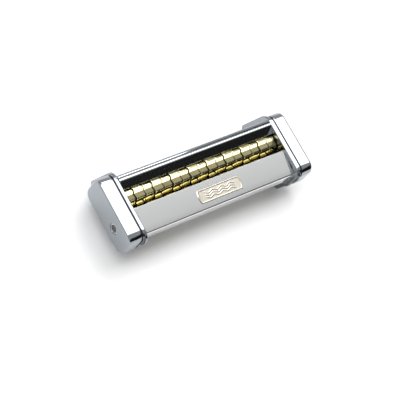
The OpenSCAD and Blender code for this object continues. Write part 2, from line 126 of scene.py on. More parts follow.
class PanelSizes(bpy.types.PropertyGroup):
    """Sizes of the front panel, back panel and feed guide."""

    sheet: length("Sheet", "Thickness of the chromed sheet", 0.8 * MM)
    bend: length("Bend radius", "Radius of a bend, at the middle of the sheet", 1.8 * MM)
    flange: length("Flange", "Length of the return flanges", 3 * MM)
    front_slope: angle("Front slope", "Fall of the front panel's top towards the front", 8.5)
    back_slope: angle("Back slope", "Fall of the back panel's top towards the back", 12)
    guide_slope: angle("Guide slope", "Fall of the feed guide towards the rollers", 37)
    guide_roll: length("Guide roll radius", "Radius of the feed guide's rolled edge", 1.9 * MM)
    guide_fall: length("Guide fall", "Length of the feed guide's sloping part", 7.6 * MM)
    guide_curl: angle("Guide curl", "Turn of the feed guide's rolled edge", 318)
    tab: length("Tab length", "Length of the tabs that reach into the frames", 5.2 * MM)
    tab_lap: length("Tab lap", "How far a tab's strip runs into the sheet it belongs to", 0.5 * MM)
    side_tab_top: length("Side tab top", "Top of a wall's tab, over the roller axis", 5 * MM)
    side_tab_foot: length("Side tab foot", "Foot of a wall's tab, below the roller axis", 1 * MM)
    top_tab_back: length("Top tab back", "Back of the top's tab, from the middle", 14 * MM)
    top_tab_front: length("Top tab front", "Front of the top's tab, from the middle", 21 * MM)
    flange_start: length("Flange start", "Gap from the guide to the back panel's top", 0.25 * MM)


class RollerSizes(bpy.types.PropertyGroup):
    """Sizes of the two cutting rollers."""

    ring: length("Ring radius", "Radius of the cutting rings", 10 * MM)
    groove: length("Groove radius", "Radius of the cores that show between the rings", 9.3 * MM)
    bore: length("Core bore", "Radius of the bore through a core", 5.02 * MM)
    gap_floor: length("Gap floor radius", "Radius at the bottom of the gap beside a ring", 8.2 * MM)
    floor_gap: length("Floor gap", "From a groove floor's end to the middle of its gap", 0.75 * MM)
    side_gap: length("Side gap", "Gap between rings that pass each other", 0.45 * MM)
    rim_round: length("Rim rounding", "Radius of the polished rim of a ring", 0.16 * MM)
    wave: length("Wave height", "Height of the waves on a ring's sides", 0.6 * MM)
    waves: count("Waves", "Number of waves round a ring", 8)
    ribbons: count("Ribbons", "Number of ribbons cut side by side", 17)
    chamfer: length("Core chamfer", "Rounding of a core's end rims", 0.25 * MM)
    sink: length("Sink", "How far a groove floor reaches into its core", 0.4 * MM)
    lift: length("Ring lift", "Gap between a ring's bore and the core", 0.03 * MM)


class PlateSizes(bpy.types.PropertyGroup):
    """Sizes of the name plate."""

    length: length("Length", "Length of the plate", 44 * MM)
    width: length("Width", "Width of the plate", 11.5 * MM)
    thickness: length("Thickness", "Thickness of the plate", 0.7 * MM)
    end_radius: length("End radius", "Radius of the round short ends", 14 * MM)
    relief: length("Relief", "Depth of the field below the border and the waves", 0.22 * MM)
    border: length("Border", "Width of the raised border", 0.9 * MM)
    wave_step: length("Wave step", "From one wave to the next", 2.1 * MM)
    wave_swing: length("Wave swing", "How far a wave swings to each side", 0.75 * MM)
    wave_length: length("Wave length", "Length of one swing of a wave", 9 * MM)
    wave_stroke: length("Wave stroke", "Half the width of a wave's stroke", 0.3 * MM)
    wave_reach: length("Wave reach", "Half the length of the row of waves", 15.5 * MM)


class Finishes(bpy.types.PropertyGroup):
    """Colours of the finishes."""

    chrome: colour("Chrome", "Polished chrome on the covers and frames", (0.34, 0.365, 0.39))
    satin: colour("Satin chrome", "Softer chrome on the front panel", (0.36, 0.37, 0.37))
    mirror: colour("Mirror chrome", "Mirror chrome on the feed guide", (0.45, 0.47, 0.50))
    nickel: colour("Nickel", "Pale nickel of the name plate", (0.52, 0.49, 0.42))
    brass: colour("Brass", "Champagne brass of the rings and cores", (0.62, 0.56, 0.31))
    steel: colour("Steel", "Turned steel of the shafts and gears", (0.36, 0.37, 0.39))
    zinc: colour("Zinc", "Zinc-plated plates and screws", (0.50, 0.51, 0.54))
    spring: colour("Spring steel", "Blued clips", (0.10, 0.10, 0.12))
    nylon: colour("Nylon", "Bushes", (0.70, 0.66, 0.55))
    comb: colour("Comb", "Moulded white combs", (0.76, 0.76, 0.73))


class StageSetup(bpy.types.PropertyGroup):
    """Camera and light."""

    aim: bpy.props.FloatVectorProperty(
        name="Aim", description="Point the camera aims at, in millimetres", size=3,
        default=(-10.6, -17.6, 25.0), precision=3)
    heading: angle("Heading", "Direction the camera looks in, from +X towards +Y", 21.42)
    elevation: angle("Elevation", "How far the camera looks down", 55.89)
    roll: angle("Roll", "Turn of the camera about its own line of sight", 42.91)
    distance: length("Distance", "From the camera to the point it aims at", 1086.3 * MM)
    lens: level("Lens", "Focal length on a 36 mm sensor, in millimetres", 119.63, 1000.0)
    ceiling: level("Ceiling", "Brightness of the long lamp box overhead", 4.2)
    dim_ceiling: level("Dim ceiling", "Brightness of the ceiling beside the lamp box", 0.6)
    walls: level("Walls", "Brightness of the walls", 0.7)
    screen: level("Dark screen", "Brightness of the dark screen at the far front corner", 0.012)
    screen_way: angle("Screen direction", "Where the dark screen stands, from +X", -52)
    key: level("Key lamp", "Power of the key lamp, in watts", 6, 1000.0)


# Meshes from grids

def grid_faces(rows, columns, wrap_rows=False, wrap_columns=True):
    """Quads between neighbours of a grid: row i and column j meet row i + 1 and column j + 1."""
    i = np.arange(rows if wrap_rows else rows - 1)[:, None]
    j = np.arange(columns if wrap_columns else columns - 1)[None, :]
    i_next, j_next = (i + 1) % rows, (j + 1) % columns
    corners = [i * columns + j, i * columns + j_next, i_next * columns + j_next,
               i_next * columns + j]
    return np.stack(np.broadcast_arrays(*corners), -1).reshape(-1, 4)


def closed_skin(points, wrap_rows=True):
    """Skin over a grid of points (rows, columns, 3) whose columns run round.

    With wrap_rows the last row joins the first, so the skin is a closed ring of metal.
    Without it the first and the last row are each drawn to one pole, which closes the skin.
    """
    rows, columns = points.shape[:2]
    flat = points.reshape(-1, 3)
    quads = grid_faces(rows, columns, wrap_rows)
    if wrap_rows:
        return flat, [quads]
    poles = np.stack([points[0].mean(0), points[-1].mean(0)])
    j = np.arange(columns)
    j_next = (j + 1) % columns
    first = np.stack([np.full(columns, rows * columns), j_next, j], -1)
    base = (rows - 1) * columns
    last = np.stack([np.full(columns, rows * columns + 1), base + j, base + j_next], -1)
    return np.vstack([flat, poles]), [quads, first, last]


def joined(parts):
    """Several (points, faces) skins as one, each part's faces moved up by the points before it."""
    points = np.vstack([p for p, _ in parts])
    faces, before = [], 0
    for p, groups in parts:
        faces += [g + before for g in groups]
        before += len(p)
    return points, faces


def flipped(part):
    """The same skin with every face turned over."""
    return part[0], [g[:, ::-1] for g in part[1]]


def mirrored(part):
    """The skin seen in a mirror across X = 0, faces turned back outwards."""
    return flipped((part[0] * np.array([-1.0, 1.0, 1.0]), part[1]))


def outward(part):
    """The skin with faces turned so that the volume it holds is positive."""
    points, groups = part
    volume = 0.0
    for g in groups:
        a = points[g[:, 0]]
        for k in range(1, g.shape[1] - 1):
            volume += np.einsum("ij,ij->i", a, np.cross(points[g[:, k]], points[g[:, k + 1]])).sum()
    return part if volume > 0 else flipped(part)


def make_piece(name, part, material, body, nodes=(), crease=40):
    """One named piece from a skin. It rides on a body and stands for the frame nodes named."""
    points, groups = part
    mesh = bpy.data.meshes.new(name)
    faces = [f for g in groups for f in g.tolist()]
    mesh.from_pydata(points.tolist(), [], faces)
    if mesh.validate():
        raise RuntimeError(name + " has faces that can't be used")
    piece = bpy.data.objects.new(name, mesh)
    bpy.context.scene.collection.objects.link(piece)
    return dress(piece, material, body, nodes, crease)


def dress(piece, material, body, nodes, crease):
    """Smooth shading with creases, a finish, a body to ride on and the nodes it stands for."""
    mesh = piece.data
    mesh.polygons.foreach_set("use_smooth", np.ones(len(mesh.polygons), bool))
    mesh.set_sharp_from_angle(angle=math.radians(crease))
    mesh.update()
    mesh.materials.clear()
    mesh.materials.append(material)
    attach(piece, body)
    if nodes:
        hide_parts(*nodes)
    return piece


def smooth_copy(node, name, material, body, crease=28):
    """A piece with a frame node's own shape, its loose triangles merged and smooth-shaded."""
    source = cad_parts[node].data
    co = np.empty(len(source.vertices) * 3)
    source.vertices.foreach_get("co", co)
    source.calc_loop_triangles()
    tri = np.empty(len(source.loop_triangles) * 3, np.int64)
    source.loop_triangles.foreach_get("vertices", tri)
    keys = np.round(co.reshape(-1, 3) / (0.001 * MM)).astype(np.int64)
    _, first, back = np.unique(keys, axis=0, return_index=True, return_inverse=True)
    tri = back.ravel()[tri].reshape(-1, 3)
    whole = (tri[:, 0] != tri[:, 1]) & (tri[:, 1] != tri[:, 2]) & (tri[:, 2] != tri[:, 0])
    piece = make_piece(name, (co.reshape(-1, 3)[first], [tri[whole]]), material, body,
                       [node], crease)
    weights = piece.modifiers.new("Flat faces lead", "WEIGHTED_NORMAL")
    weights.keep_sharp = True
    return piece


# Outlines and profiles

def rounded_outline(low, high, corner, inset, per_corner=14, per_side=10):
    """Points round a rectangle with round corners, each side drawn in by inset.

    A corner is a quarter circle about its own centre, and a side is a straight run between two
    corners. The number of points is the same for every inset, so rings can be joined up.
    """
    y0, z0, y1, z1 = low[0] + inset, low[1] + inset, high[0] - inset, high[1] - inset
    r = max(corner - inset, 0.05 * MM)
    centres = np.array([[y1 - r, z1 - r], [y0 + r, z1 - r], [y0 + r, z0 + r], [y1 - r, z0 + r]])
    turn = np.linspace(0, np.pi / 2, per_corner)
    arcs = [c + r * np.stack([np.cos(turn + k * np.pi / 2), np.sin(turn + k * np.pi / 2)], -1)
            for k, c in enumerate(centres)]
    share = np.linspace(0, 1, per_side + 2)[1:-1, None]
    runs = [arcs[k][-1] * (1 - share) + arcs[(k + 1) % 4][0] * share for k in range(4)]
    return np.vstack([np.vstack([arcs[k], runs[k]]) for k in range(4)])


def rows_at(x_and_yz):
    """Grid rows from pairs of X and an outline in Y and Z."""
    return np.stack([np.column_stack([np.full(len(yz), x), yz]) for x, yz in x_and_yz])


def turned(profile, centre, around=96, wrap=True):
    """A profile of (x, radius) pairs turned about a line along X through centre (y, z)."""
    a = np.linspace(0, 2 * np.pi, around, endpoint=False)
    x, r = np.array(profile).T
    points = np.stack([
        np.broadcast_to(x[:, None], (len(x), around)),
        centre[0] + r[:, None] * np.cos(a),
        centre[1] + r[:, None] * np.sin(a)], -1)
    return outward(closed_skin(points, wrap))


def sheet_path(start, heading, legs, bend_steps=12, leg_steps=6):
    """Middle line of bent sheet in Y and Z, with the direction at every point.

    A leg is (length, turn, radius): a straight run, then an arc of that radius that turns the
    direction by turn. Points come as rows of (y, z, direction).
    """
    rows = [(start[0], start[1], heading)]
    y, z, d = start[0], start[1], heading
    for run, turn, radius in legs:
        for k in range(1, leg_steps + 1):
            rows.append((y + run * k / leg_steps * math.cos(d),
                         z + run * k / leg_steps * math.sin(d), d))
        y, z = rows[-1][:2]
        if turn:
            side = math.copysign(1, turn)
            cy, cz = y - side * radius * math.sin(d), z + side * radius * math.cos(d)
            for k in range(1, bend_steps + 1):
                b = d + turn * k / bend_steps
                rows.append((cy + side * radius * math.sin(b),
                             cz - side * radius * math.cos(b), b))
            y, z, d = rows[-1]
    return np.array(rows)


def sheet_strip(path, thickness, x0, x1, edge=0.12 * MM, x_steps=24):
    """Solid sheet: the path's two faces at half the thickness to each side, carried along X.

    The outline goes along the upper face, round the far edge, back along the lower face and
    round the near edge. The two X ends are rounded off by one narrow ring and capped.
    """
    y, z, d = path.T
    normal = np.stack([-np.sin(d), np.cos(d)], -1)
    along = np.stack([np.cos(d), np.sin(d)], -1)
    middle = np.stack([y, z], -1)

    def outline(half, pull):
        core = middle.copy()
        core[0] += along[0] * pull
        core[-1] -= along[-1] * pull
        upper, lower = core + normal * half, (core - normal * half)[::-1]
        far = core[-1] + along[-1] * edge
        near = core[0] - along[0] * edge
        far_rows = [far + normal[-1] * (half - edge), far - normal[-1] * (half - edge)]
        near_rows = [near - normal[0] * (half - edge), near + normal[0] * (half - edge)]
        return np.vstack([upper, far_rows, lower, near_rows])

    half = thickness / 2
    full = outline(half, edge)
    slim = outline(half - edge * 0.7, edge * 1.7)
    stations = [(x0, slim), (x0 + edge, full), (x0 + 3 * edge, full)]
    stations += [(x, full) for x in np.linspace(x0 + 4 * edge, x1 - 4 * edge, x_steps)]
    stations += [(x1 - 3 * edge, full), (x1 - edge, full), (x1, slim)]
    points = rows_at(stations)
    rows, columns = points.shape[:2]
    n = len(middle)
    k = np.arange(n - 1)
    mirror = 2 * n + 1 - k
    cap = np.stack([k, k + 1, mirror - 1, mirror], -1)
    far_cap = np.array([[n - 1, n, n + 1, n + 2]])
    near_cap = np.array([[0, 2 * n + 1, 2 * n + 2, 2 * n + 3]])
    caps = np.vstack([cap, far_cap, near_cap])
    last = (rows - 1) * columns
    return outward((points.reshape(-1, 3),
                    [grid_faces(rows, columns), caps, caps[:, ::-1] + last]))


# End covers

def cover_skin(sizes, with_hole, hole_centre):
    """A pressed cup, walked from its middle outwards and back on the inside.

    Outer face, quarter-circle edge, side, rim at the seam, inner side, inner edge, inner face.
    The side bows by a parabola, so its middle stands at full size and its edges a little in.
    """
    x_face, x_seam = COVER_LOW[0], COVER_HIGH[0]
    low, high = COVER_LOW[1:], COVER_HIGH[1:]
    edge, wall, corner = sizes.edge, sizes.wall, sizes.corner
    middle = (low + high) / 2

    def ring(inset):
        return rounded_outline(low, high, corner, inset)

    def bowed(x):
        share = (x - x_face - edge) / (x_seam - x_face - edge)
        return sizes.crown * (2 * share - 1) ** 2

    arc = np.linspace(0, np.pi / 2, 12)
    rows = []
    face = ring(edge)
    # Rings of points across the flat face, closer together near the hole and the edge
    shares = np.array([0.03, 0.1, 0.25, 0.45, 0.65, 0.82, 0.94, 0.985])
    if with_hole:
        toward = face - hole_centre
        toward /= np.linalg.norm(toward, axis=1)[:, None]
        lip = sizes.lip

        def circle(r):
            return hole_centre + toward * r

        start = circle(sizes.crank_hole + lip)
        rows += [(x_face + wall, circle(sizes.crank_hole)),
                 (x_face + 0.5 * wall, circle(sizes.crank_hole))]
        rows += [(x_face + lip * (1 - math.sin(t)),
                  circle(sizes.crank_hole + lip * (1 - math.cos(t))))
                 for t in np.linspace(0, np.pi / 2, 6)]
        back_start = circle(sizes.crank_hole + 0.02 * MM)
    else:
        start = middle + (face - middle) * 0.01
        back_start = start
        rows.append((x_face, start))
    rows += [(x_face, start + (face - start) * s) for s in shares]
    rows += [(x_face + edge * (1 - math.cos(t)), ring(edge * (1 - math.sin(t))
              + sizes.crown * math.sin(t))) for t in arc]
    outer_round, inner_round = 0.25 * MM, 0.15 * MM
    side = np.linspace(x_face + edge, x_seam - outer_round, 16)[1:]
    rows += [(x, ring(bowed(x))) for x in side]
    rim = bowed(side[-1])
    rows += [(x_seam - 0.32 * outer_round, ring(rim + 0.2 * outer_round)),
             (x_seam, ring(rim + outer_round)), (x_seam, ring(wall - inner_round)),
             (x_seam - inner_round, ring(wall))]
    rows += [(x, ring(wall + sizes.crown)) for x in np.linspace(x_seam - 1 * MM, x_face + edge, 5)]
    small = edge - wall
    rows += [(x_face + wall + small * (1 - math.sin(t)),
              ring(wall + sizes.crown + small * (1 - math.cos(t)))) for t in arc[1:]]
    inner_face = ring(edge + sizes.crown)
    rows += [(x_face + wall, back_start + (inner_face - back_start) * s) for s in shares[::-1]]
    if not with_hole:
        rows.append((x_face + wall, back_start))
    return outward(closed_skin(rows_at(rows), with_hole))


def boss_skin(sizes, centre):
    """A round boss with a blind bore, from the cover's face to the seam."""
    x_back, x_front = COVER_LOW[0] + sizes.wall / 2, COVER_HIGH[0]
    bore_end = x_front - sizes.screw_depth
    rim, mouth, tip, middle = 0.2 * MM, 0.15 * MM, 0.6 * MM, 0.2 * MM
    profile = [(x_back, middle), (x_back, sizes.boss), (x_front - rim, sizes.boss),
               (x_front, sizes.boss - rim), (x_front, sizes.screw + mouth),
               (x_front - mouth, sizes.screw), (bore_end, sizes.screw),
               (bore_end - tip, middle)]
    return turned(profile, centre, 40, False)


class CUTTER_OT_end_covers(bpy.types.Operator):
    """Builds the two chromed end covers, the left one with the crank hole"""

    bl_idname = "cutter.end_covers"
    bl_label = "End Covers"

    def execute(self, context):
        sizes = context.scene.cutter_covers
        chrome = chrome_finish(context.scene.cutter_finishes)
        hole = np.array([(CORE_LOW[1] + CORE_HIGH[1]) / 2, (CORE_LOW[2] + CORE_HIGH[2]) / 2])
        screw_z = COVER_LOW[2] + sizes.screw_rise
        bosses = [boss_skin(sizes, (y, screw_z))
                  for y in (COVER_LOW[1] + sizes.screw_front, COVER_HIGH[1] - sizes.screw_back)]
        left = joined([cover_skin(sizes, True, hole)] + bosses)
        right = joined([cover_skin(sizes, False, hole)] + bosses)
        make_piece("left_end_cover_chromed", left, chrome, "frame",
                   ["left_end_cover"])
        make_piece("right_end_cover_chromed", mirrored(right), chrome, "frame",
                   ["right_end_cover"])
        return {"FINISHED"}


class CUTTER_OT_inner_frames(bpy.types.Operator):
    """Gives the two inner frames and their slide tongues smooth chromed faces"""

    bl_idname = "cutter.inner_frames"
    bl_label = "Inner Frames"

    def execute(self, context):
        chrome = brushed_chrome_finish(context.scene.cutter_finishes)
        for side in ("left", "right"):
            smooth_copy(side + "_inner_frame", side + "_inner_frame_chromed", chrome, "frame")
        return {"FINISHED"}


# Panels

def front_path(sizes):
    """Middle line of the front panel: sloping top, bend, front wall, bend, flange."""
    low, high = node_box("front_panel")
    half = sizes.sheet / 2
    slope = sizes.front_slope
    start = (high[1] - half * math.sin(slope), high[2] - half * math.cos(slope))
    wall_y = low[1] + half
    top = (start[0] - wall_y - sizes.bend) / math.cos(slope)
    foot = low[2] + half
    bend_z = start[1] - top * math.sin(slope) - sizes.bend
    wall = bend_z - foot - sizes.bend
    return sheet_path(start, math.pi + slope, [
        (top, math.pi / 2 - slope, sizes.bend), (wall, math.pi / 2, sizes.bend),
        (sizes.flange, 0, 0)])


def straight_path(start, end):
    """A straight middle line from start to end."""
    start, end = np.array(start), np.array(end)
    run = end - start
    return sheet_path(tuple(start), math.atan2(run[1], run[0]), [(np.linalg.norm(run), 0, 0)])


def end_tabs(sizes, path, half_length):
    """A tab along path at each end of the sheet."""
    lap = sizes.tab_lap
    return [sheet_strip(path, sizes.sheet, x0, x1, x_steps=4)
            for x0, x1 in ((-half_length - sizes.tab, -half_length + lap),
                           (half_length - lap, half_length + sizes.tab))]


def wall_tabs(sizes, y, half_length):
    """The two tabs of a wall, one through each frame."""
    axis_z = (CORE_LOW[2] + CORE_HIGH[2]) / 2
    path = straight_path((y, axis_z + sizes.side_tab_top), (y, axis_z - sizes.side_tab_foot))
    return end_tabs(sizes, path, half_length)


class CUTTER_OT_front_panel(bpy.types.Operator):
    """Builds the front panel: sloping satin top, front wall and return flange"""

    bl_idname = "cutter.front_panel"
    bl_label = "Front Panel"

    def execute(self, context):
        sizes = context.scene.cutter_panels
        path = front_path(sizes)
        half_length = node_box("feed_guide")[1][0]
        strips = [sheet_strip(path, sizes.sheet, -half_length, half_length)]
        strips += wall_tabs(sizes, node_box("front_panel")[0][1] + sizes.sheet / 2, half_length)
        middle_y = (COVER_LOW[1] + COVER_HIGH[1]) / 2
        start = path[0]
        ends = [(y, start[1] - (start[0] - y) * math.tan(sizes.front_slope))
                for y in (middle_y - sizes.top_tab_back, middle_y - sizes.top_tab_front)]
        strips += end_tabs(sizes, straight_path(*ends), half_length)
        make_piece("front_panel_satin", joined(strips),
                   satin_finish(context.scene.cutter_finishes), "frame",
                   ["front_panel"])
        return {"FINISHED"}


class CUTTER_OT_back_panel(bpy.types.Operator):
    """Builds the back panel: narrow top flange, back wall and return flange"""

    bl_idname = "cutter.back_panel"
    bl_label = "Back Panel"

    def execute(self, context):
        sizes = context.scene.cutter_panels
        low, high = node_box("back_panel")
        half = sizes.sheet / 2
        wall_y = high[1] - half
        fall = sizes.back_slope
        start = (node_box("feed_guide")[1][1] + sizes.flange_start,
                 high[2] - half * math.cos(fall))
        top = (wall_y - sizes.bend * (1 - math.sin(fall)) - start[0]) / math.cos(fall)
        wall = (start[1] - top * math.sin(fall) - sizes.bend * (math.cos(fall) + 1)
                - low[2] - half)
        path = sheet_path(start, -fall, [
            (top, fall - math.pi / 2, sizes.bend),
            (wall, -math.pi / 2, sizes.bend), (sizes.flange, 0, 0)])
        half_length = node_box("feed_guide")[1][0]
        strips = [sheet_strip(path, sizes.sheet, -half_length, half_length)]
        strips += wall_tabs(sizes, wall_y, half_length)
        make_piece("back_panel_chromed", joined(strips),
                   chrome_finish(context.scene.cutter_finishes), "frame",
                   ["back_panel"])
        return {"FINISHED"}


class CUTTER_OT_feed_guide(bpy.types.Operator):
    """Builds the mirror-bright feed guide with its rolled upper edge"""

    bl_idname = "cutter.feed_guide"
    bl_label = "Feed Guide"

    def execute(self, context):
        sizes = context.scene.cutter_panels
        high = node_box("feed_guide")[1]
        r, half = sizes.guide_roll, sizes.sheet / 2
        centre = np.array([high[1] - r, high[2] - r])
        line = r - half
        slope = sizes.guide_slope
        out = np.array([-math.sin(slope), math.cos(slope)])
        down = np.array([-math.cos(slope), -math.sin(slope)])
        top = centre + out * line
        foot = top + down * sizes.guide_fall
        legs = [(float(np.linalg.norm(foot - top)), -sizes.guide_curl, line)]
        path = sheet_path(tuple(foot), slope, legs, bend_steps=48)
        half_length = high[0]
        make_piece("feed_guide_mirror",
                   sheet_strip(path, sizes.sheet, -half_length, half_length),
                   mirror_finish(context.scene.cutter_finishes), "frame",
                   ["feed_guide"])
        return {"FINISHED"}


# Name plate

def wave_relief(x, y, sizes):
    """Height of the plate's face over the field: 1 on the border and on the three waves, 0 between.

    A wave is a stroke about a sine line, its edge a smooth step of the distance to the line.
    """
    end = sizes.length / 2 - sizes.end_radius + np.sqrt(
        np.maximum(sizes.end_radius ** 2 - y ** 2, 0))
    to_edge = np.minimum(end - np.abs(x), sizes.width / 2 - np.abs(y))
    border_fall, stroke_fall, fade = 0.25 * MM, 0.22 * MM, 1.2 * MM
    height = 1 - smooth_step((to_edge - sizes.border) / border_fall)
    turns = 2 * np.pi * x / sizes.wave_length
    steepest = 0.52
    for lift in (-sizes.wave_step, 0.0, sizes.wave_step):
        line = lift + sizes.wave_swing * np.sin(turns)
        across = np.abs(y - line) / np.sqrt(1 + (steepest * np.cos(turns)) ** 2)
        stroke = 1 - smooth_step((across - sizes.wave_stroke) / stroke_fall)
        inside = smooth_step((sizes.wave_reach - np.abs(x)) / fade)
        height = np.maximum(height, stroke * inside)
    return height, to_edge


def smooth_step(t):
    """0 below 0, 1 above 1 and 3t^2 - 2t^3 between."""
    t = np.clip(t, 0, 1)
    return t * t * (3 - 2 * t)


def name_plate_skin(sizes, slope, centre):
    """The plate's face as a height over a grid squeezed into the outline, a wall and a flat back."""
    u = np.linspace(-1, 1, 221)
    v = np.linspace(-1, 1, 65)
    u_grid, v_grid = np.meshgrid(u, v, indexing="ij")
    y = v_grid * sizes.width / 2
    reach = sizes.length / 2 - sizes.end_radius + np.sqrt(sizes.end_radius ** 2 - y ** 2)
    x = u_grid * reach
    height, to_edge = wave_relief(x, y, sizes)
    rim_drop, rim_width = 0.2 * MM, 0.35 * MM
    rounding = rim_drop * (1 - smooth_step(to_edge / rim_width))
    z = sizes.thickness - sizes.relief * (1 - height) - rounding
    top = np.stack([x, y, z], -1).reshape(-1, 3)
    rows, columns = len(u), len(v)
    faces = [grid_faces(rows, columns, wrap_columns=False)]
    border = np.concatenate([
        np.arange(columns), np.arange(1, rows) * columns + columns - 1,
        (rows - 1) * columns + np.arange(columns - 2, -1, -1),
        np.arange(rows - 2, 0, -1) * columns])
    foot = top[border].copy()
    foot[:, 2] = 0
    n = len(border)
    k = np.arange(n)
    k_next = (k + 1) % n
    base = len(top)
    wall = np.stack([border[k], base + k, base + k_next, border[k_next]], -1)
    pole = np.array([[0.0, 0.0, 0.0]])
    back = np.stack([np.full(n, base + n), base + k_next, base + k], -1)
    points = np.vstack([top, foot, pole])
    turn = Matrix.Rotation(slope, 3, "X")
    points = points @ np.array(turn).T + centre
    return outward((points, faces + [wall, back]))


class CUTTER_OT_name_plate(bpy.types.Operator):
    """Builds the pale name plate, with a raised border and plain waves instead of any lettering"""

    bl_idname = "cutter.name_plate"
    bl_label = "Name Plate"

    def execute(self, context):
        sizes = context.scene.cutter_plate
        slope = context.scene.cutter_panels.front_slope
        middle = (PLATE_LOW + PLATE_HIGH) / 2
        rise = np.array([0.0, -math.sin(slope), math.cos(slope)])
        centre = middle - rise * sizes.thickness / 2
        make_piece("name_plate_waves", name_plate_skin(sizes, slope, centre),
                   nickel_finish(context.scene.cutter_finishes), "frame",
                   ["name_plate"], crease=50)
        return {"FINISHED"}


# Cutting rollers

def roller_axis(which):
    """Y and Z of a roller's axis, from its core in the frame."""
    low, high = node_box(which + "_roller_core")
    return (low[1] + high[1]) / 2, (low[2] + high[2]) / 2


def ring_skins(sizes, which, first, hand, crest, inner, gap):
    """Every second ring of one roller, each a closed grid, from radius inner to crest.

    A point of a ring is (x, r) on its section turned by the angle a. Its x is shifted by
    wave * hand * sin(waves * a), the same for both sides, so a ring keeps its width.
    """
    half_length = CORE_HIGH[0]
    pitch = 2 * half_length / sizes.ribbons
    k = np.arange(first, sizes.ribbons, 2)
    end_gap = sizes.wave + sizes.side_gap
    x0 = -half_length + k * pitch + np.where(k == 0, end_gap, gap)
    x1 = -half_length + (k + 1) * pitch - np.where(k == sizes.ribbons - 1, end_gap, gap)
    e = sizes.rim_round
    t = np.linspace(0, np.pi / 2, 5)
    across = np.linspace(0, 1, 7)[1:-1]
    from_left = np.concatenate([[0, 0, 0], e * (1 - np.cos(t)), np.zeros(5), -e * (1 - np.sin(t)),
                                [0, 0, 0]])
    share = np.concatenate([np.zeros(3 + len(t)), across, np.ones(len(t) + 3)])
    mid_r = [inner, (inner + crest) / 2, crest - 1.6 * e]
    radius = np.concatenate([mid_r, crest - e * (1 - np.sin(t)), np.full(5, crest),
                             crest - e * (1 - np.cos(t)), mid_r[::-1]])
    a = np.linspace(0, 2 * np.pi, 24 * sizes.waves, endpoint=False)
    wave = hand * sizes.wave * np.sin(sizes.waves * a)
    y, z = roller_axis(which)
    parts = []
    for left, right in zip(x0, x1):
        section_x = left + (right - left) * share + from_left
        points = np.stack([
            section_x[:, None] + wave[None, :],
            y + radius[:, None] * np.cos(a)[None, :],
            z + radius[:, None] * np.sin(a)[None, :]], -1)
        parts.append(outward(closed_skin(points)))
    return joined(parts)


class CUTTER_OT_roller_cores(bpy.types.Operator):
    """Builds the two brass cores, painted near-black as shade at the bottoms of the gaps, and the
    bright groove floors
    """

    bl_idname = "cutter.roller_cores"
    bl_label = "Roller Cores"

    def execute(self, context):
        sizes = context.scene.cutter_rollers
        brass = brass_finish(context.scene.cutter_finishes)
        x, r, b, c = CORE_HIGH[0], sizes.gap_floor, sizes.bore, sizes.chamfer
        inside = [(s, r) for s in np.linspace(-x + 2 * c, x - 2 * c, 24)]
        profile = ([(-x, b), (-x, r - c), (-x + 0.3 * c, r - 0.3 * c), (-x + c, r)] + inside
                   + [(x - c, r), (x - 0.3 * c, r - 0.3 * c), (x, r - c), (x, b)])
        profile += [(s, b) for s in np.linspace(x - c, -x + c, 12)]
        # The cores show only at the bottoms of the gaps, so their brass is painted near-black there
        # as shade
        dark = gap_shade_finish(context.scene.cutter_finishes)
        for which, first, hand in (("front", 1, 1), ("back", 0, -1)):
            floors = ring_skins(sizes, which, first, hand, sizes.groove, r - sizes.sink,
                                sizes.floor_gap)
            make_piece(which + "_groove_floors", floors, brass, which + "_roller", (), 45)
            make_piece(which + "_roller_core_brass", turned(profile, roller_axis(which), 128),
                       dark, which + "_roller", [which + "_roller_core"], 50)
        return {"FINISHED"}


class CUTTER_OT_cutting_rings(bpy.types.Operator):
    """Builds the wavy cutting rings of both rollers"""

    bl_idname = "cutter.cutting_rings"
    bl_label = "Cutting Rings"

    def execute(self, context):
        sizes = context.scene.cutter_rollers
        brass = ring_finish(context.scene.cutter_finishes)
        for which, first, hand in (("front", 0, 1), ("back", 1, -1)):
            rings = ring_skins(sizes, which, first, hand, sizes.ring,
                               sizes.gap_floor + sizes.lift, sizes.side_gap / 2)
            make_piece(which + "_cutting_rings_brass", rings, brass, which + "_roller",
                       [which + "_cutting_rings"], 45)
        return {"FINISHED"}


class CUTTER_OT_drive(bpy.types.Operator):
    """Gives the shafts, gears, bushes, clips and drive pin their finishes"""

    bl_idname = "cutter.drive"
    bl_label = "Shafts and Drive"

    def execute(self, context):
        finishes = context.scene.cutter_finishes
        steel = steel_finish(finishes)
        spring, nylon = spring_finish(finishes), nylon_finish(finishes)
        for which in ("front", "back"):
            body = which + "_roller"
            smooth_copy(body + "_shaft", body + "_shaft_turned", steel, body)
            smooth_copy(which + "_gear", which + "_gear_cut", steel, body)
            smooth_copy(which + "_shaft_clips", which + "_shaft_clips_blued", spring, body)
            for side in ("left", "right"):
                bush = side + "_" + which + "_bush"
                smooth_copy(bush, bush + "_nylon", nylon, "frame")
        smooth_copy("crank_drive_pin", "crank_drive_pin_turned", steel, "front_roller")
        return {"FINISHED"}


class CUTTER_OT_combs(bpy.types.Operator):
    """Gives the two combs and their rods smooth faces and finishes"""

    bl_idname = "cutter.combs"
    bl_label = "Combs"

    def execute(self, context):
        finishes = context.scene.cutter_finishes
        for which in ("front", "back"):
            smooth_copy(which + "_comb", which + "_comb_moulded", comb_finish(finishes),
                        "frame")
            smooth_copy(which + "_comb_rod", which + "_comb_rod_turned", steel_finish(finishes),
                        "frame")
        return {"FINISHED"}


class CUTTER_OT_plates_and_screws(bpy.types.Operator):
    """Gives the bearing plates and the cover screws their finishes"""

    bl_idname = "cutter.plates_and_screws"
    bl_label = "Bearing Plates and Screws"

    def execute(self, context):
        zinc = zinc_finish(context.scene.cutter_finishes)
        dark = plate_finish(context.scene.cutter_finishes)
        for side in ("left", "right"):
            smooth_copy(side + "_bearing_plate", side + "_bearing_plate_dark", dark, "frame")
        smooth_copy("cover_screws", "cover_screws_zinc", zinc, "frame")
        return {"FINISHED"}


# Finishes

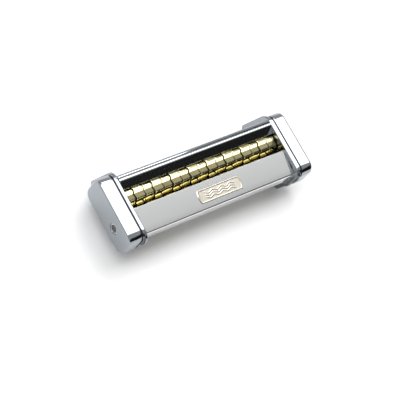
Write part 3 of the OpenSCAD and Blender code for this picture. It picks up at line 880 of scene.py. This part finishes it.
class Recipe:
    """A node material under construction, with short ways to add and join nodes."""

    def __init__(self, name):
        self.material = bpy.data.materials.new(name)
        self.material.use_nodes = True
        self.tree = self.material.node_tree
        self.shader = self.tree.nodes["Principled BSDF"]
        self.coordinates = self.tree.nodes.new("ShaderNodeTexCoord").outputs["Object"]

    def node(self, kind, inputs=None, **settings):
        made = self.tree.nodes.new(kind)
        for key, value in settings.items():
            setattr(made, key, value)
        for key, value in (inputs or {}).items():
            socket = made.inputs[key]
            if isinstance(value, bpy.types.NodeSocket):
                self.tree.links.new(value, socket)
            else:
                socket.default_value = value
        return made

    def scaled(self, scale):
        return self.node("ShaderNodeMapping", {"Vector": self.coordinates,
                                               "Scale": scale}).outputs["Vector"]

    def noise(self, scale, stretch=(1, 1, 1), detail=3.0, roughness=0.55):
        """Noise with scale cycles a metre, slowed down along an axis by stretch below 1."""
        return self.node("ShaderNodeTexNoise", {
            "Vector": self.scaled(stretch), "Scale": scale, "Detail": detail,
            "Roughness": roughness}).outputs["Fac"]

    def range(self, value, from_low, from_high, to_low, to_high):
        return self.node("ShaderNodeMapRange", {
            "Value": value, "From Min": from_low, "From Max": from_high, "To Min": to_low,
            "To Max": to_high}).outputs["Result"]

    def math(self, operation, a, b=0.0):
        return self.node("ShaderNodeMath", {0: a, 1: b}, operation=operation).outputs[0]

    def mix(self, share, a, b):
        made = self.node("ShaderNodeMix", {"Factor": share}, data_type="RGBA")
        for socket, value in ((made.inputs[6], a), (made.inputs[7], b)):
            if isinstance(value, bpy.types.NodeSocket):
                self.tree.links.new(value, socket)
            else:
                socket.default_value = (*value, 1.0)
        return made.outputs[2]

    def set(self, **values):
        for key, value in values.items():
            socket = self.shader.inputs[key.replace("_", " ")]
            if isinstance(value, bpy.types.NodeSocket):
                self.tree.links.new(value, socket)
            else:
                socket.default_value = value

    def bump(self, height, distance, strength=0.4, under=None):
        inputs = {"Height": height, "Distance": distance, "Strength": strength}
        if under is not None:
            inputs["Normal"] = under
        return self.node("ShaderNodeBump", inputs).outputs["Normal"]


def shade(colour, k):
    """The colour times k, kept from 0 to 1."""
    return tuple(min(1.0, max(0.0, c * k)) for c in colour)


def once(name):
    """A material made earlier under this name, or None."""
    return bpy.data.materials.get(name)


def metal(name, base, dull, rough, brush=None, brush_depth=0.004 * MM, smudge=0.25,
          ripple=0.0):
    """Plated or turned metal.

    Colour: base, clouded towards dull by a slow noise. Roughness: between the two numbers of
    rough, driven by finger smudges and fine wiping scratches. Bump: brush lines along the axis
    where brush is small, or else the scratches, over a slow ripple of the pressed sheet.
    """
    found = once(name)
    if found:
        return found
    r = Recipe(name)
    cloud = r.range(r.noise(45.0, detail=4.0), 0.35, 0.7, 0.0, 1.0)
    smudges = r.range(r.noise(120.0, detail=5.0, roughness=0.65), 0.5, 0.75, 0.0, 1.0)
    scratches = r.range(r.noise(900.0, (1.0, 0.06, 1.0), 2.0), 0.62, 0.7, 0.0, 1.0)
    wiped = r.range(r.noise(800.0, (0.05, 1.0, 1.0), 2.0), 0.64, 0.72, 0.0, 1.0)
    worn = r.math("MAXIMUM", scratches, wiped)
    r.set(Metallic=1.0, Base_Color=r.mix(r.math("MULTIPLY", cloud, 0.7), base, dull))
    uneven = r.math("ADD", r.math("MULTIPLY", smudges, smudge), r.math("MULTIPLY", worn, 0.35))
    r.set(Roughness=r.range(uneven, 0.0, 1.0, rough[0], rough[1]))
    normal = None
    if ripple:
        normal = r.bump(r.noise(38.0, detail=1.0), ripple, 0.5)
    if brush:
        lines = r.noise(5200.0, brush, 2.0, 0.7)
        normal = r.bump(lines, brush_depth, 0.35, normal)
    else:
        normal = r.bump(worn, 0.002 * MM, 0.2, normal)
    r.set(Normal=normal)
    return r.material


def chrome_finish(f):
    """Polished chrome on pressed sheet."""
    return metal("polished_chrome", tuple(f.chrome), shade(f.chrome, 0.9), (0.05, 0.3),
                 ripple=0.05 * MM)


def brushed_chrome_finish(f):
    """Chrome over brushed sheet, with lines across the tongues."""
    return metal("brushed_chrome", shade(f.chrome, 0.95), shade(f.chrome, 0.82), (0.16, 0.4),
                 brush=(1.0, 0.02, 1.0), ripple=0.03 * MM)


def satin_finish(f):
    """Soft satin chrome with brush lines along the panel."""
    return metal("satin_chrome", tuple(f.satin), shade(f.satin, 0.92), (0.24, 0.42),
                 brush=(0.02, 1.0, 1.0), ripple=0.03 * MM)


def mirror_finish(f):
    """Mirror chrome of the feed guide."""
    return metal("mirror_chrome", tuple(f.mirror), shade(f.mirror, 0.94), (0.03, 0.2),
                 smudge=0.15)


def nickel_finish(f):
    """Pale nickel of the name plate."""
    return metal("pale_nickel", tuple(f.nickel), shade(f.nickel, 0.85), (0.26, 0.5),
                 brush=(0.05, 1.0, 1.0), brush_depth=0.003 * MM)


def brass_finish(f):
    """Brass cores, turned, with a thin dull film."""
    return metal("turned_brass", shade(f.brass, 0.92), shade(f.brass, 0.7), (0.1, 0.36),
                 brush=(1.0, 0.02, 0.02), brush_depth=0.001 * MM, smudge=0.4)


def ring_finish(f):
    """Polished brass rings."""
    return metal("polished_brass", tuple(f.brass), shade(f.brass, 0.8), (0.09, 0.3),
                 brush=(1.0, 0.02, 0.02), brush_depth=0.001 * MM, smudge=0.35)


def gap_shade_finish(f):
    """Brass painted near-black as shade: it stands in for the shadow at the bottoms of the narrow
    gaps between the rings.
    """
    return metal("shade_painted_brass", shade(f.brass, 0.12), shade(f.brass, 0.05), (0.45, 0.7))


def plate_finish(f):
    """Dark phosphated steel of the bearing plates."""
    return metal("phosphated_steel", shade(f.zinc, 0.1), shade(f.zinc, 0.06), (0.45, 0.7))


def steel_finish(f):
    """Turned steel."""
    return metal("turned_steel", tuple(f.steel), shade(f.steel, 0.75), (0.2, 0.5),
                 brush=(1.0, 0.03, 0.03))


def zinc_finish(f):
    """Zinc plate, a little cloudy."""
    return metal("zinc_plate", tuple(f.zinc), shade(f.zinc, 0.7), (0.32, 0.6), smudge=0.6)


def spring_finish(f):
    """Blued spring steel."""
    return metal("blued_spring_steel", tuple(f.spring), shade(f.spring, 0.6), (0.25, 0.5))


def plastic(name, base, deep, rough):
    """Moulded plastic: slight flow marks in colour, a fine matt grain in roughness and bump."""
    found = once(name)
    if found:
        return found
    r = Recipe(name)
    flow = r.range(r.noise(60.0, (0.3, 1.0, 1.0), 4.0), 0.35, 0.7, 0.0, 1.0)
    grain = r.noise(2600.0, detail=2.0)
    r.set(Base_Color=r.mix(flow, base, deep), Roughness=r.range(grain, 0.3, 0.7, *rough),
          Normal=r.bump(grain, 0.01 * MM, 0.3), IOR=1.5)
    return r.material


def nylon_finish(f):
    """Natural nylon."""
    return plastic("natural_nylon", tuple(f.nylon), shade(f.nylon, 0.85), (0.38, 0.52))


def comb_finish(f):
    """White comb plastic."""
    return plastic("white_comb_plastic", tuple(f.comb), shade(f.comb, 0.9), (0.34, 0.5))


# Stage

def floor_skin(radius=8.0, around=96, level_z=-0.05 * MM):
    """A flat disc just below the part, radius growing by the square so the middle is fine."""
    a = np.linspace(0, 2 * np.pi, around, endpoint=False)
    r = radius * np.linspace(0.02, 1, 24) ** 2
    points = np.stack([r[:, None] * np.cos(a), r[:, None] * np.sin(a),
                       np.full((len(r), len(a)), level_z)], -1)
    pole = np.array([[0.0, 0.0, level_z]])
    j = np.arange(around)
    hub = np.stack([np.full(around, len(r) * around), j, (j + 1) % around], -1)
    return np.vstack([points.reshape(-1, 3), pole]), [grid_faces(len(r), around)[:, ::-1], hub]


def floor_finish():
    """Plain matt pale floor."""
    r = Recipe("pale_floor")
    tone = r.range(r.noise(3.0, detail=2.0), 0.3, 0.7, 0.0, 1.0)
    r.set(Base_Color=r.mix(tone, (0.86, 0.86, 0.865), (0.84, 0.84, 0.845)), Roughness=0.9)
    return r.material


# Ends of the room's smooth steps, for a direction of length 1: its Y at the lamp box's front and
# back, its part towards the dark screen, and its Z at the ceiling
LAMP_BOX_FRONT = (-0.02, 0.05)
LAMP_BOX_BACK = (0.36, 0.50)
SCREEN_SIDE = (0.3, 0.55)
CEILING_EDGE = (0.50, 0.66)
KEY_LAMP_PLACE = (0.5, 0.9, 1.3)
KEY_LAMP_SIZE = (0.6, 0.6)


def soft_room(context, setup):
    """A lamp box in a dimmer ceiling, walls, and a dark screen low at the far front corner.

    The ceiling begins where the direction's Z passes a smooth step, and the lamp box lies
    between two smooth steps of its Y. The screen covers directions below the ceiling whose flat
    part lies near the screen's own direction.
    """
    world = bpy.data.worlds.new("Soft room")
    context.scene.world = world
    world.use_nodes = True
    tree = world.node_tree
    tree.nodes.clear()

    def node(kind, inputs=None, **settings):
        made = tree.nodes.new(kind)
        for key, value in settings.items():
            setattr(made, key, value)
        for key, value in (inputs or {}).items():
            if isinstance(value, bpy.types.NodeSocket):
                tree.links.new(value, made.inputs[key])
            else:
                made.inputs[key].default_value = value
        return made

    direction = node("ShaderNodeTexCoord").outputs["Generated"]
    parts = node("ShaderNodeSeparateXYZ", {0: direction})
    corner = setup.screen_way
    toward = node("ShaderNodeVectorMath", {0: direction,
                                           1: (math.cos(corner), math.sin(corner), 0.0)},
                  operation="DOT_PRODUCT").outputs["Value"]

    def step(value, ends, to_low, to_high):
        return node("ShaderNodeMapRange", {
            "Value": value, "From Min": ends[0], "From Max": ends[1], "To Min": to_low,
            "To Max": to_high}, interpolation_type="SMOOTHSTEP").outputs["Result"]

    def blend(share, a, b):
        return node("ShaderNodeMix", {"Factor": share, 2: a, 3: b},
                    data_type="FLOAT").outputs[0]

    lamp_front = step(parts.outputs["Y"], LAMP_BOX_FRONT, 0.0, 1.0)
    lamp_back = step(parts.outputs["Y"], LAMP_BOX_BACK, 1.0, 0.0)
    lamp = node("ShaderNodeMath", {0: lamp_front, 1: lamp_back}, operation="MULTIPLY").outputs[0]
    ceiling = blend(lamp, setup.dim_ceiling, setup.ceiling)
    low = blend(step(toward, SCREEN_SIDE, 0.0, 1.0), setup.walls, setup.screen)
    light = blend(step(parts.outputs["Z"], CEILING_EDGE, 0.0, 1.0), low, ceiling)
    background = node("ShaderNodeBackground", {"Color": (1.0, 1.0, 1.0, 1.0),
                                               "Strength": light})
    output = node("ShaderNodeOutputWorld")
    tree.links.new(background.outputs[0], output.inputs[0])


def place_camera(context, setup):
    """The camera looks along its heading, tipped down by its elevation, then rolled."""
    h, e, roll = setup.heading, setup.elevation, setup.roll
    forward = Vector((math.cos(e) * math.cos(h), math.cos(e) * math.sin(h), -math.sin(e)))
    level_right = forward.cross(Vector((0, 0, 1))).normalized()
    level_up = level_right.cross(forward)
    right = level_right * math.cos(roll) + level_up * math.sin(roll)
    up = level_up * math.cos(roll) - level_right * math.sin(roll)
    data = bpy.data.cameras.new("Camera")
    data.lens = setup.lens
    data.sensor_width = 36
    data.clip_start, data.clip_end = 0.05, 50
    data.dof.use_dof = False
    camera = bpy.data.objects.new("Camera", data)
    context.scene.collection.objects.link(camera)
    aim = Vector(setup.aim) * MM
    turn = Matrix((right, up, -forward)).transposed().to_4x4()
    camera.matrix_world = Matrix.Translation(aim - forward * setup.distance) @ turn
    context.scene.camera = camera


def soft_lamp(context, name, where, toward, size, watts):
    """A soft rectangular lamp that looks at a point."""
    data = bpy.data.lights.new(name, "AREA")
    data.shape = "RECTANGLE"
    data.size, data.size_y = size
    data.energy = watts
    lamp = bpy.data.objects.new(name, data)
    context.scene.collection.objects.link(lamp)
    lamp.location = where
    lamp.rotation_mode = "QUATERNION"
    lamp.rotation_quaternion = (Vector(toward) - Vector(where)).to_track_quat("-Z", "Y")


class CUTTER_OT_stage(bpy.types.Operator):
    """Builds the pale floor, the soft room, the key lamp and the camera"""

    bl_idname = "cutter.stage"
    bl_label = "Stage"

    def execute(self, context):
        setup = context.scene.cutter_stage
        points, groups = floor_skin()
        mesh = bpy.data.meshes.new("pale_floor")
        mesh.from_pydata(points.tolist(), [], [f for g in groups for f in g.tolist()])
        mesh.materials.append(floor_finish())
        floor = bpy.data.objects.new("pale_floor", mesh)
        context.scene.collection.objects.link(floor)
        soft_room(context, setup)
        soft_lamp(context, "Key lamp", KEY_LAMP_PLACE, (0, 0, 0), KEY_LAMP_SIZE, setup.key)
        place_camera(context, setup)
        context.scene.view_settings.view_transform = "Standard"
        return {"FINISHED"}


OPERATORS = (
    CUTTER_OT_stage, CUTTER_OT_end_covers, CUTTER_OT_inner_frames, CUTTER_OT_front_panel,
    CUTTER_OT_back_panel, CUTTER_OT_feed_guide, CUTTER_OT_name_plate, CUTTER_OT_roller_cores,
    CUTTER_OT_cutting_rings, CUTTER_OT_drive, CUTTER_OT_combs, CUTTER_OT_plates_and_screws,
)
GROUPS = {
    "cutter_covers": CoverSizes, "cutter_panels": PanelSizes, "cutter_rollers": RollerSizes,
    "cutter_plate": PlateSizes, "cutter_finishes": Finishes, "cutter_stage": StageSetup,
}


class CUTTER_PT_pieces(bpy.types.Panel):
    """Lists the sizes, the finishes and the buttons that build each piece"""

    bl_idname = "CUTTER_PT_pieces"
    bl_label = "Ribbon Cutter"
    bl_space_type = "VIEW_3D"
    bl_region_type = "UI"
    bl_category = "Ribbon Cutter"

    def draw(self, context):
        for name, group in GROUPS.items():
            box = self.layout.box()
            box.label(text=group.__doc__)
            for key in group.__annotations__:
                box.prop(getattr(context.scene, name), key)
        for operator in OPERATORS:
            self.layout.operator(operator.bl_idname)


def register():
    """Registers the groups, the operators and the panel, and hangs the groups on the scene."""
    for name, group in GROUPS.items():
        bpy.utils.register_class(group)
        setattr(bpy.types.Scene, name, bpy.props.PointerProperty(type=group))
    for cls in (*OPERATORS, CUTTER_PT_pieces):
        bpy.utils.register_class(cls)


def unregister():
    """Takes away what register added, in the opposite order."""
    for cls in (CUTTER_PT_pieces, *reversed(OPERATORS)):
        bpy.utils.unregister_class(cls)
    for name, group in reversed(GROUPS.items()):
        delattr(bpy.types.Scene, name)
        bpy.utils.unregister_class(group)


def main():
    """Registers the groups, the operators and the panel, then builds everything in order."""
    register()
    for operator in OPERATORS:
        group, name = operator.bl_idname.split(".")
        getattr(getattr(bpy.ops, group), name)()


if __name__ == "__main__":
    main()
